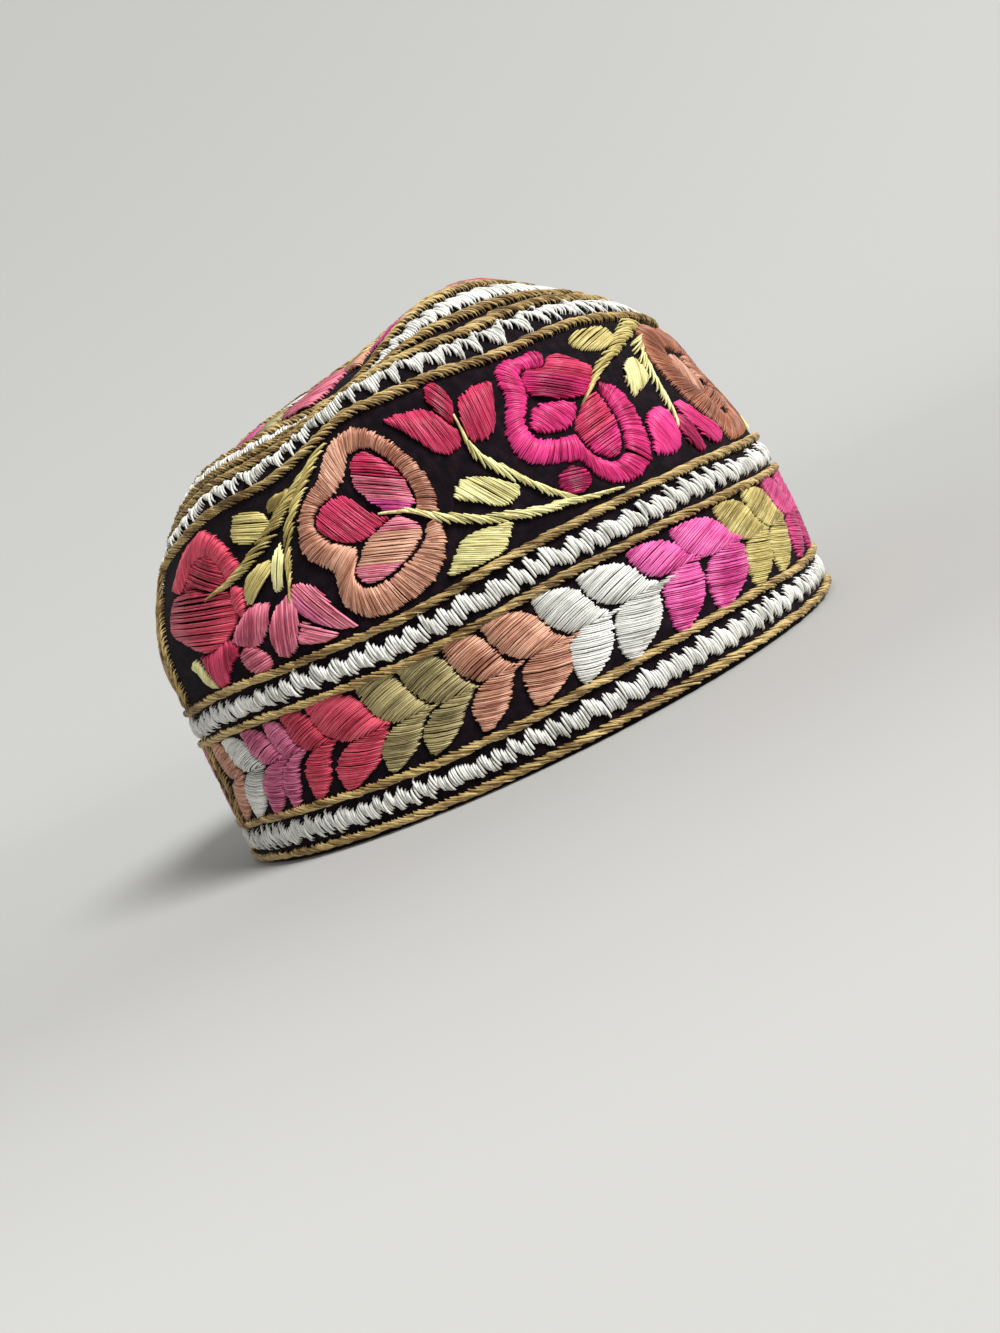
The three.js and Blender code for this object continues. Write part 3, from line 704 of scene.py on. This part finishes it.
# Flower frieze
# Roses, buds, petals and pale leaves of silk fill the tall frieze. The same flowers follow one another
# twice round the cap, the second time in other silks, and each is worked petal by petal.
# Each patch says how it is stitched and in which silk, or in which silks with the share of the stitches
# after which each stops. Satin then has its tone, its angle and its outline, banded its tone and its two
# edges, and a stem its width, or its widths along, and its line. Places are (along, up).
FRIEZE = {
    "red_rose": [
        ("banded", "crimson", 0.55, [
            (-46.8, 75), (-47.8, 77.5), (-49.6, 80.6), (-53, 84.3), (-57, 87.3), (-61, 89.5),
            (-66, 89.2), (-71, 88.4), (-76, 86), (-80, 83), (-82.5, 81.3),
        ], [
            (-53.6, 74.4), (-54.4, 77.5), (-57, 80.6), (-60.5, 82.7), (-64.5, 83.2), (-68.5, 82.4),
            (-71.5, 80.6), (-74, 79.2), (-77, 78.8), (-80, 79.6), (-82, 80.8),
        ]),
        ("satin", "crimson", 0.25, -28, [
            (-54, 74.3), (-54, 77.5), (-57, 81), (-61, 83), (-66, 83.2), (-70, 81.8), (-72.5, 79.5),
            (-73, 77.7), (-68, 77.6), (-64, 76.2), (-58.6, 74),
        ]),
        ("satin", "crimson", 0.42, -12, [
            (-87.3, 71.2), (-85.5, 75.6), (-81, 78.3), (-76, 77.9), (-71, 77.6), (-67, 76.8),
            (-62.5, 74.4), (-58, 73), (-54, 72.2), (-52.4, 68), (-53.4, 65), (-56, 62.8), (-61, 61.2),
            (-66, 60.6), (-70, 60.9), (-75, 63), (-80, 66), (-84.5, 68.4),
        ]),
        ("satin", "rose", 0.45, 68, [
            (-73.6, 60.6), (-70, 60), (-65, 60.4), (-60.5, 61.4), (-57.6, 59.6), (-57.4, 56.8),
            (-61, 55.4), (-64.5, 52.8), (-67, 50.9), (-70.8, 50.9), (-72.6, 54), (-73.4, 57.6),
        ]),
        ("satin", "crimson", 0.55, 15, [
            (-53, 71.6), (-50.3, 72.6), (-48.2, 70), (-49.4, 66.6), (-51.6, 64.2), (-52.8, 67),
        ]),
        ("satin", "yellow", 0.85, 70, [
            (-81, 58.8), (-78.4, 60.4), (-76, 59.8), (-74.2, 56.4), (-72.4, 53), (-71.4, 51),
            (-74.8, 51.5), (-77.4, 53.4), (-79, 56.2),
        ]),
    ],
    "pink_petals": [
        ("satin", "pink", 0.45, 60, [
            (-57, 61), (-53.4, 63.8), (-49.4, 65.7), (-45, 66.2), (-41.6, 64.8), (-42.4, 62.2),
            (-45, 59.2), (-48, 57), (-51.4, 56.5), (-55, 57.8), (-58.4, 59.8),
        ]),
        ("satin", "pink", 0.55, 5, [
            (-57.4, 56.2), (-54, 57.3), (-51, 56.1), (-48.7, 53.6), (-48.2, 51), (-50, 49.6),
            (-53, 49.6), (-56, 50.9), (-57.8, 53.4),
        ]),
        ("satin", "pink", 0.6, 68, [
            (-45.6, 54), (-44.6, 58), (-42.4, 61.2), (-39, 63.5), (-35, 64.3), (-33.8, 61.2),
            (-35.2, 57.6), (-37.6, 54), (-39.6, 51.4), (-42, 50.4), (-44.8, 51.4),
        ]),
        ("satin", [("pink", 0.62), ("purple", 1)], 0.55, 118, [
            (-35, 63.4), (-33.4, 66), (-30.4, 65.5), (-28, 64), (-26.4, 61.6), (-25.4, 58.4),
            (-23.8, 55), (-22.2, 52), (-21.2, 50.2), (-25, 50.8), (-28.4, 52.8), (-31.4, 55.6),
            (-34, 59.4),
        ]),
        ("satin", "pink", 0.7, -35, [
            (-38, 53), (-36.4, 55.2), (-34.6, 57.2), (-32.2, 55), (-29.6, 52.6), (-27, 50.4),
            (-30, 49.8), (-33.4, 50.6), (-36.4, 51.6),
        ]),
    ],
    "coral_flower": [
        ("banded", "coral", 0.34, [
            (-5, 90.2), (-1, 89.2), (2.5, 86.5), (5.5, 83.3), (8, 79.5), (9.8, 76), (10.3, 72.5),
            (9.8, 69), (8.8, 66),
        ], [
            (-6.5, 85.2), (-3, 84.9), (0, 83.5), (2.8, 80.5), (4.6, 77), (5.2, 73.5), (5, 70.5),
            (4, 68.8),
        ]),
        ("banded", "coral", 0.55, [
            (8, 64.8), (8, 61.5), (6.5, 58), (4, 54.5), (0.5, 52), (-4, 50.4), (-8, 49.8), (-12, 49.2),
            (-16, 49.9), (-19.5, 52), (-22, 55.5), (-22.2, 59.5), (-21.3, 62.5), (-21.8, 65),
            (-24, 67.2), (-26.3, 69.5), (-27.3, 72.5), (-26.5, 75.5), (-24.8, 78.5), (-22, 81.3),
            (-18, 83.2), (-15.5, 84.7), (-13.5, 87.3), (-11.5, 89), (-8, 90.2), (-5.3, 90.3),
        ], [
            (4.6, 64.5), (2.5, 61.5), (-1, 59.5), (-5, 58), (-9, 57), (-13, 57), (-16, 58.2),
            (-17, 60.5), (-16, 63), (-14, 65.5), (-14.3, 67.3), (-17, 69.5), (-20, 72), (-21.5, 75),
            (-21, 77.3), (-18, 78.7), (-14.5, 79.3), (-10.5, 80.8), (-8.5, 83), (-6.8, 85),
        ]),
        ("satin", [("magenta", 0.22), ("pink", 0.6), ("rose", 1)], 0.5, -25, [
            (-8, 79.5), (-6.5, 83.3), (-4, 84.3), (-1, 83), (2, 80), (4.2, 76.5), (4.7, 72.5), (4, 70),
            (1, 69.6), (-2.8, 71), (-5, 73.5), (-7, 76.5),
        ]),
        ("satin", "rose", 0.4, -56, [
            (-20.8, 76.2), (-18.5, 78), (-15, 78.6), (-11.5, 78), (-9.3, 76), (-7.5, 73.5), (-5, 71.3),
            (-3, 70), (-6, 69), (-9.5, 68), (-12.5, 68.2), (-16, 69.6), (-19, 72), (-20.6, 74),
        ]),
        ("satin", [("pink", 0.28), ("coral", 0.78), ("pink", 1)], 0.72, -20, [
            (-16, 61.4), (-14, 64.2), (-11, 67), (-7, 68.4), (-3.5, 69.2), (-1.2, 69.6), (1.5, 67.2),
            (3.2, 64.6), (2, 62.6), (-1, 60.6), (-4, 59.2), (-8, 58), (-12, 57.8), (-15, 58.8),
        ]),
    ],
    "frieze_stems": [
        ("stem", "yellow", (0.8, 2.4, 3, 3, 2.6, 2.2, 0.8), [
            (-2.5, 70.6), (2, 69), (6, 66.4), (10, 63.8), (15, 61.2), (20, 59), (28, 56.6), (36, 54.9),
            (43, 53.5), (50.5, 52.3),
        ]),
        ("stem", "yellow", (1.4, 2.4, 3.2, 2.2, 1), [
            (23.3, 79.6), (23.6, 75.5), (25, 72), (27.6, 68.6), (30.4, 65.4), (33.4, 61.8), (36.8, 58),
            (40.4, 54.8),
        ]),
        ("stem", "straw", (0.8, 2.4, 3, 3.6, 3.4), [
            (-61, 73.1), (-54, 73.6), (-47, 75), (-41, 76.6), (-35, 78.6), (-29, 81.6), (-24.5, 84.4),
            (-20, 87.2),
        ]),
        ("stem", "straw", (1, 2.2, 3, 3.8, 3.2), [
            (-34, 64.8), (-32.4, 69), (-30.6, 73.6), (-28, 77.8), (-25, 81), (-21.6, 84.6),
            (-18, 87.6), (-14.5, 90),
        ]),
        ("stem", "straw", (0.9, 2.6, 3.2, 4.2, 4.8), [
            (59.5, 74.9), (65, 77.8), (71, 80.8), (78, 83.4), (85, 86.2), (91, 88.6), (97, 90.6),
        ]),
        ("stem", "yellow", (5, 3.6, 3, 2.2, 0.8), [
            (92.5, 85.2), (89, 82), (87, 78), (86, 74), (84.6, 69), (83.2, 64.8), (81.8, 61.6),
        ]),
        ("satin", "yellow", 0.55, -25, [
            (4, 51.4), (5.6, 53.2), (8.4, 55.8), (11, 57.5), (14.5, 58), (18.6, 57.5), (23.2, 56.2),
            (22.2, 54), (20, 51.6), (17.5, 50.5), (12, 50.3), (7.4, 50.7),
        ]),
        ("satin", "yellow", 0.6, -55, [
            (13.8, 67), (15.6, 69.4), (18.6, 70.2), (22, 69.2), (25, 67.3), (27.8, 65), (29.8, 62.9),
            (28.4, 61.2), (25, 60.3), (22, 61.5), (19, 63.8), (16, 65.6),
        ]),
        ("satin", "straw", 0.7, 15, [
            (65.5, 88), (67, 90), (71, 90.8), (76, 91), (81, 90.6), (82.8, 88.5), (80.5, 85.8),
            (76, 84.5), (71, 85), (67.5, 86),
        ]),
        ("satin", "yellow", 0.6, 60, [
            (74.3, 70.8), (75, 75), (77.8, 78.7), (81.4, 80.4), (84, 79.7), (84.6, 76.6), (83.4, 73.6),
            (80.4, 72.2), (77.2, 71.7),
        ]),
        ("satin", "straw", 0.85, -20, [
            (-47.8, 83), (-47, 86), (-45, 87.7), (-42.4, 87.3), (-38.4, 86), (-35.5, 84.2),
            (-33.8, 81.6), (-33.2, 79.8), (-36, 79.1), (-40, 78.9), (-44, 79.8), (-46.8, 81.4),
        ]),
        ("satin", "straw", 0.22, 30, [
            (-33.6, 84), (-33, 86), (-30, 87), (-26, 86.4), (-24.2, 85), (-26, 83.4), (-28.5, 82.6),
            (-31.5, 82.6),
        ]),
        ("satin", "straw", 0.75, 28, [
            (-48, 66.8), (-48, 70), (-45.6, 72.6), (-42, 73.9), (-38.6, 74), (-36.4, 73), (-38, 71),
            (-41.4, 69.3), (-45, 67.2),
        ]),
        ("satin", "yellow", 0.72, 62, [
            (-38.5, 67), (-37.4, 70.6), (-35.2, 74.2), (-32.6, 75.9), (-32.4, 73.2), (-33.8, 70),
            (-35.2, 67.4), (-37.2, 66.1),
        ]),
    ],
    "rose_bud": [
        ("satin", "rose", 0.48, 105, [
            (6.3, 87.3), (9, 87.6), (13, 87), (16.5, 86.3), (19.5, 84), (21, 81.5), (22.6, 79.5),
            (22.2, 77.2), (20, 76), (17, 76.4), (14.5, 78), (12, 81), (9.5, 84),
        ]),
        ("satin", "rose", 0.3, 120, [
            (21.5, 90.6), (23.5, 90), (24.6, 87.5), (24.8, 84.5), (23.6, 82), (22.3, 80.9),
            (20.7, 82.9), (19.7, 85.3), (18.9, 88), (20, 90),
        ]),
        ("satin", "rose", 0.34, 85, [
            (25.6, 83.5), (27, 85.2), (30, 86.3), (33, 86.7), (37, 86), (35.5, 82.5), (33.5, 79),
            (31.5, 76.8), (28, 75.6), (25.3, 76.2), (24.3, 78), (24.8, 81),
        ]),
    ],
    "magenta_rose": [
        ("banded", "cerise", 0.5, [
            (55, 88.8), (52, 90.2), (48, 89.8), (44, 89.8), (40.8, 89.2), (39, 86.6), (38.4, 82.5),
            (37.2, 79.6), (35, 77), (33.4, 73.6), (33.3, 70.2), (35, 67.2), (38, 65.2), (41.6, 63.9),
            (45, 63), (48, 62),
        ], [
            (53.6, 85.6), (50.8, 85.4), (48, 86), (45.8, 85.8), (44.9, 84.4), (44.6, 82.4),
            (44.2, 80.3), (42.6, 78.3), (40.4, 76.2), (39.4, 73.5), (40.6, 71.2), (43.4, 69.6),
            (46.6, 68.9), (49.9, 68.4),
        ]),
        ("satin", [("cerise", 0.5), ("rose", 1)], 0.42, -24, [
            (45, 84.2), (47.6, 85.6), (50.6, 85), (53.6, 85.2), (55.4, 87), (59, 86.6), (62.4, 84.4),
            (66.4, 81), (64.4, 78.2), (61, 76), (58, 75.6), (54.4, 76.2), (50.4, 77.4), (47.4, 78.6),
            (44.8, 80.2),
        ]),
        ("satin", "cerise", 0.5, -56, [
            (40.3, 74), (42, 76.2), (45, 77.4), (48.5, 77.1), (52, 76.1), (55.4, 74.9), (54, 72.7),
            (52, 71), (49, 70.3), (45.7, 70.7), (43, 71.6), (41, 72.8),
        ]),
        ("satin", [("cerise", 0.45), ("rose", 1)], 0.38, 8, [
            (51.6, 70.2), (55, 72.3), (58, 74.2), (61, 75), (63.4, 74.8), (63.6, 70), (62.8, 66),
            (60.6, 62), (58, 59.9), (55.4, 59.8), (53, 61.6), (51.6, 65), (51.1, 68),
        ]),
        ("banded", "cerise", 0.4, [
            (66, 77.2), (69.4, 75.4), (71.3, 71.8), (71.2, 67), (69.6, 62), (67.2, 57.4), (64.8, 54.8),
        ], [(64.6, 75.4), (64.8, 72.6), (64.8, 69.6), (64.2, 66), (62.6, 62.8), (60.6, 60.4)]),
        ("banded", "cerise", 0.45, [
            (47.2, 63), (48.2, 60), (49, 57.2), (50.8, 54.6), (54, 53), (57.6, 52.5), (61, 53),
            (63.6, 54.4),
        ], [(50.1, 68), (50.3, 64.4), (51.5, 61.3), (53.8, 59), (56.6, 58.2), (59.6, 59.2)]),
        ("satin", "cerise", 0.2, -12, [
            (38.5, 58.5), (40, 61), (43, 62), (46, 61), (47.6, 58.5), (46, 56), (43, 55.1), (40, 56),
        ]),
    ],
    "magenta_petals": [
        ("satin", "cerise", 0.75, 95, [
            (67.5, 56), (69.5, 59), (71, 62.5), (73, 65), (76, 66), (79.4, 66), (81, 63.5),
            (80.2, 59.5), (78.7, 56.8), (76, 54.6), (73, 54), (70, 54.8),
        ]),
        ("satin", "cerise", 0.1, 100, [
            (81.8, 61.8), (84.6, 62.2), (86, 59), (85.6, 55), (84.3, 51.6), (82, 51.6), (80.4, 54.5),
            (80.5, 58),
        ]),
        ("satin", "cerise", 0.5, 118, [
            (85.6, 64), (88, 65.5), (90.5, 64), (92.5, 60), (94.5, 57.5), (96.2, 53.8), (94, 51.8),
            (90, 51.8), (87.7, 54.3), (86.7, 58),
        ]),
    ],
    "copper_flower": [
        ("banded", "copper", 0.5, [
            (98.8, 51.4), (97.4, 55), (95.6, 60), (93.6, 65), (92.4, 70), (91.2, 75), (90.8, 80),
            (92, 84.6), (97, 88.6), (103, 90), (110, 88.6), (117, 89), (125, 87), (131, 81), (133, 73),
            (131, 65), (128, 58), (121, 52.6), (111, 51), (104, 50.6), (99.4, 51),
        ], [
            (107.5, 57.5), (106.5, 60.5), (105.5, 64), (103.5, 68), (102.4, 72), (101.4, 75.5),
            (101.4, 78.6), (103, 80.6), (106.4, 81.4), (110, 80.4), (114, 79.6), (119, 79.4),
            (122.4, 77.6), (124.4, 74.5), (124, 70), (122.4, 66), (120, 61.6), (115, 58.6),
            (110.6, 57.4), (108, 57.2),
        ]),
        ("satin", "coral", 0.35, 75, [
            (102.5, 67), (100, 73), (101.5, 77.6), (105.5, 78.4), (109, 75), (109.6, 69.5), (107, 65),
        ]),
        ("satin", "coral", 0.3, -30, [
            (112, 76.6), (118, 77.6), (122.4, 75), (121.5, 70), (117, 67.6), (112.4, 70),
        ]),
        ("satin", "copper", 0.6, 10, [
            (105.6, 60.4), (104.6, 64), (109, 66.6), (115, 66), (119.6, 64.4), (116, 60.6),
            (110, 59.4),
        ]),
    ],
    "tan_flower": [
        ("banded", "coral", 0.5, [
            (141.5, 74), (144, 80.5), (150, 86), (157, 88.8), (164, 88.6), (171, 84.6), (175.6, 78),
            (176, 71), (173.5, 63.5), (168, 57), (160, 52.6), (152, 54), (145.4, 60), (142, 67),
            (141.4, 73.5),
        ], [
            (148.4, 73.5), (150.6, 77.6), (154.4, 80.6), (159, 82), (163.6, 81.4), (167.4, 78.6),
            (169.4, 74.4), (169, 69), (166.4, 64.6), (161.6, 61.2), (156, 60.6), (151.6, 63.4),
            (149, 68), (148.4, 73),
        ]),
        ("satin", "yellow", 0.6, -20, [(151, 73), (156, 79), (162, 79.6), (160, 73.6), (155, 69.6)]),
        ("satin", "rose", 0.6, 50, [(163.6, 78.8), (167, 74.6), (166, 68.6), (161.6, 68), (161, 73)]),
        ("satin", "crimson", 0.6, 8, [
            (152.2, 67.6), (157, 69.6), (163.6, 66.6), (160, 62.8), (154.6, 63),
        ]),
    ],
    "far_stems": [
        ("stem", "olive", 2.2, [(133.5, 57), (138, 62), (140, 69), (138, 77), (136, 84), (138, 90)]),
        ("satin", "yellow", 0.6, 40, [
            (128.5, 89.8), (133.5, 90.6), (136.4, 87), (134, 84.6), (130.4, 86),
        ]),
        ("satin", "olive", 0.6, -40, [(139.6, 86), (142.5, 90), (148, 90.6), (146, 87), (142.5, 84)]),
        ("satin", "yellow", 0.6, 20, [
            (127.4, 55), (132, 60.5), (137, 58.6), (136.6, 53), (131.4, 51.2),
        ]),
        ("satin", "olive", 0.6, -15, [
            (139, 57.5), (142.5, 60.8), (146.4, 55.6), (148.8, 51.4), (142.5, 51),
        ]),
        ("stem", "yellow", 2.2, [(176.5, 70), (181, 72), (186, 77), (190, 84), (191.5, 90)]),
        ("satin", "olive", 0.6, 60, [(178.5, 82), (180, 88.6), (185, 90.4), (187.6, 87), (184, 82.6)]),
        ("satin", "yellow", 0.6, 25, [
            (182, 69.4), (185.4, 73.6), (190.6, 73.4), (193.4, 69.6), (188.6, 66.4),
        ]),
        ("satin", "rose", 0.6, 80, [
            (176, 60), (181, 65), (187, 64.4), (186, 57), (182, 51.6), (177, 52.6),
        ]),
        ("satin", "pink", 0.6, 60, [
            (187.6, 62), (192, 62), (197.4, 57.6), (196, 51.8), (190.6, 51.2), (187.8, 56),
        ]),
    ],
}
FRIEZE_NODES = {"frieze_stems": "long_leaf", "far_stems": None}
OTHER_SILKS = {
    "crimson": "magenta", "pink": "rose", "coral": "pink", "rose": "crimson", "cerise": "coral",
    "copper": "purple", "yellow": "straw", "straw": "yellow", "olive": "yellow",
}
TAN_SWAPS = {"yellow": "olive"}
FRIEZE_END = ROUND + SEAM - 4.5  # what would run past the seam is left out
for repeat, side in enumerate(("right", "left")):
    for motif, patches in FRIEZE.items():
        shift = (repeat * ROUND / 2, 0)
        other = TAN_SWAPS if motif == "tan_flower" else OTHER_SILKS
        swaps = other if repeat else {}
        sewn = {}
        for kind, silk, tone, *shape in patches:
            if kind == "satin":
                rows = satin(np.add(shape[1], shift), shape[0], tone=tone)
            elif kind == "banded":
                rows = banded(np.add(shape[0], shift), np.add(shape[1], shift), tone=tone)
            else:
                rows = stem(np.add(shape[0], shift), tone)
            if rows[:, 0].max() > FRIEZE_END:
                continue
            shares = [(silk, 1)] if isinstance(silk, str) else silk
            used = 0
            for one, share in shares:
                upto = round(share * len(rows))
                sewn.setdefault(swaps.get(one, one), []).append(rows[used:upto])
                used = upto
        node = FRIEZE_NODES.get(motif, motif)
        for silk, rows in sewn.items():
            replaced = [f"{node}_{side}"] if node else []
            sew(f"{motif}_{side}_{silk}", np.vstack(rows), SILKS[silk], replaced)

# Crown disc
# A ring of petals, leaves and buds round one middle flower covers the soft disc on top, in satin stitch,
# with a ring of gold-coloured cord inside the petals. Places are measured from its middle, over the flat
# cloth.


def disc(right, back):
    """Turn and distance up of places on the crown disc."""
    return np.arctan2(back, right), APEX - np.hypot(right, back)


def turned_by(points, degrees, out=0.0):
    """Points drawn round the disc's +X axis, moved out and turned to another direction."""
    lie = math.radians(degrees)
    moved = np.array(points, float) + (out, 0)
    return moved @ np.array([[math.cos(lie), math.sin(lie)], [-math.sin(lie), math.cos(lie)]])


PETAL = [(0, 0), (6, -6.5), (14, -8.4), (21, -5.6), (23.5, 0), (21, 5.6), (14, 8.4), (6, 6.5)]
LEAF = [(0, 0), (5, -4), (12, -5), (18, -2.6), (21, 0.6), (15, 3), (8, 3.4)]
BUD = [(0, -1), (4, -4.6), (9.5, -5), (12, 0), (9.5, 5), (4, 4.6), (0, 1)]
MIDDLE_SILKS = ["rose", "magenta", "pink", "crimson", "rose", "magenta", "pink", "crimson"]
OUTER_SILKS = [
    "coral", "crimson", "purple", "rose", "magenta", "pink",
    "magenta", "coral", "crimson", "purple", "rose", "pink",
]
OUTER_TURN = 20  # degrees from the disc's right to the first petal of the ring
MIDDLE_SIZE = 0.62  # a middle petal's share of an outer one's size
# How far out each shape starts, and the reach of the gold-coloured ring and of the flower's heart
MIDDLE_OUT, PETAL_OUT, LEAF_OUT, BUD_OUT = 4, 33, 34, 20
RING_REACH, HEART_REACH = 29.5, 4.2
RING_PLACES, HEART_PLACES = 60, 9
crown = {}


def on_crown(silk, outline, angle, tone=0.5):
    crown.setdefault(silk, []).append(satin(outline, angle, tone=tone))


def circle(reach, count):
    return np.array([(reach * math.cos(a), reach * math.sin(a)) for a in np.linspace(0, 2 * math.pi, count)])


for i, silk in enumerate(MIDDLE_SILKS):
    lie = 360 * i / len(MIDDLE_SILKS)
    on_crown(silk, turned_by(np.multiply(PETAL, MIDDLE_SIZE), lie, MIDDLE_OUT), lie + 90)
for i, silk in enumerate(OUTER_SILKS):
    lie = 360 * i / len(OUTER_SILKS) + OUTER_TURN
    on_crown(silk, turned_by(PETAL, lie, PETAL_OUT), lie + 72, tone=0.55)
    on_crown("coral" if i % 2 else "olive", turned_by(LEAF, lie + 14, LEAF_OUT), lie + 70)
    on_crown("yellow" if i % 2 else "white", turned_by(BUD, lie + 15, BUD_OUT), lie + 95)
crown["gold"] = [cord_stitches(circle(RING_REACH, RING_PLACES), 2.2, 5.0, 0.95, 1.5)]
on_crown("yellow", circle(HEART_REACH, HEART_PLACES)[:-1], 20, tone=0.6)
for silk, rows in crown.items():
    sew(f"crown_flowers_{silk}", np.vstack(rows), SILKS[silk], place=disc)

# Floor
# A plain pale sweep: a flat floor that curves up on the far side of the cap as the camera sees it, so
# that no edge shows there. Its paper has painted shade, darker away from the camera, for the light falling
# off.
FLOOR_HALF = 6.5  # metres, as the rest of the floor's sizes
FLOOR_CELLS = (130, 40)
FLOOR_SHIFT = 0.4  # to the far side
CURVE_START, CURVE = 0.6, 0.9  # where it starts to rise, and how fast


def pale_paper():
    material = bpy.data.materials.new("pale_paper")
    material.use_nodes = True
    nodes, links = material.node_tree.nodes, material.node_tree.links
    shader = nodes["Principled BSDF"]
    shader.inputs["Roughness"].default_value = 0.7
    place = nodes.new("ShaderNodeTexCoord")
    apart = nodes.new("ShaderNodeSeparateXYZ")
    reach = nodes.new("ShaderNodeMapRange")
    reach.inputs["From Min"].default_value = -0.24
    reach.inputs["From Max"].default_value = -0.1
    # painted shade: the paper darkens from the camera's side towards the far side, as if the light fell off
    # there
    falloff_shade = colour_ramp(nodes, [(0.0, (196, 196, 193)), (1.0, (168, 168, 166))])
    links.new(place.outputs["Object"], apart.inputs["Vector"])
    links.new(apart.outputs["X"], reach.inputs["Value"])
    links.new(reach.outputs["Result"], falloff_shade.inputs["Fac"])
    links.new(falloff_shade.outputs["Color"], shader.inputs["Base Color"])
    return material


bm = bmesh.new()
bmesh.ops.create_grid(bm, x_segments=FLOOR_CELLS[0], y_segments=FLOOR_CELLS[1], size=FLOOR_HALF)
for vert in bm.verts:
    vert.co.x = vert.co.x / 2 + FLOOR_SHIFT
    vert.co.z = CURVE * max(0.0, vert.co.x - CURVE_START) ** 2
for face in bm.faces:
    face.smooth = True
floor_mesh = bpy.data.meshes.new("floor")
bm.to_mesh(floor_mesh)
bm.free()
floor = bpy.data.objects.new("floor", floor_mesh)
bpy.context.scene.collection.objects.link(floor)
floor.data.materials.append(pale_paper())

# Light
# Soft white light from all round, a broad lamp high in front of the wearer's right side, and a weaker
# one from behind.
world = bpy.data.worlds.new("studio")
world.use_nodes = True
backdrop = world.node_tree.nodes["Background"]
backdrop.inputs["Color"].default_value = (*linear(250, 249, 247), 1)
backdrop.inputs["Strength"].default_value = 0.34
bpy.context.scene.world = world


def lamp(name, place, spread, strength):
    """A far lamp. Its spread in degrees softens the shadows."""
    light = bpy.data.lights.new(name, "SUN")
    light.angle = math.radians(spread)
    light.energy = strength
    shining = bpy.data.objects.new(name, light)
    shining.location = place
    shining.rotation_euler = Vector(place).to_track_quat("Z", "Y").to_euler()
    bpy.context.scene.collection.objects.link(shining)


lamp("broad_lamp", (-0.55, -0.85, 0.95), 24, 4.45)
lamp("rear_lamp", (-0.5, 0.8, 0.9), 50, 0.25)

# Camera
# Close on the wearer's right side, level with the middle of the cap and rolled, as the photograph is.
IMAGE_HIGH = 1333  # pixels, the long side
FOCAL = 1030  # pixels
SENSOR = 36  # mm
AZIMUTH, ROLL = -84.3, -25.8
SHIFT_RIGHT, SHIFT_UP = 1.8, 5.25  # degrees between the view's middle and the cap's
DISTANCE = 326.5
AIM = Vector((0, 0, 50))
CLIP = 0.01  # metres
azimuth, roll = math.radians(AZIMUTH), math.radians(ROLL)
back = Vector((math.sin(azimuth), -math.cos(azimuth), 0))
right = Vector((0, 0, 1)).cross(back)
upward = back.cross(right)
level = Matrix((right, upward, back))
rolled = Matrix.Rotation(-roll, 3, "Z") @ level
panned = Matrix.Rotation(math.radians(SHIFT_RIGHT), 3, "Y") @ rolled
tilted = Matrix.Rotation(math.radians(SHIFT_UP), 3, "X") @ panned
camera = bpy.data.objects.new("camera", bpy.data.cameras.new("camera"))
camera.data.sensor_width = SENSOR
camera.data.lens = SENSOR * FOCAL / IMAGE_HIGH
camera.data.clip_start = CLIP
place = (AIM + back * DISTANCE) * MM
camera.matrix_world = Matrix.LocRotScale(place, tilted.transposed().to_quaternion(), None)
bpy.context.scene.collection.objects.link(camera)
bpy.context.scene.camera = camera
bpy.context.scene.view_settings.view_transform = "Standard"
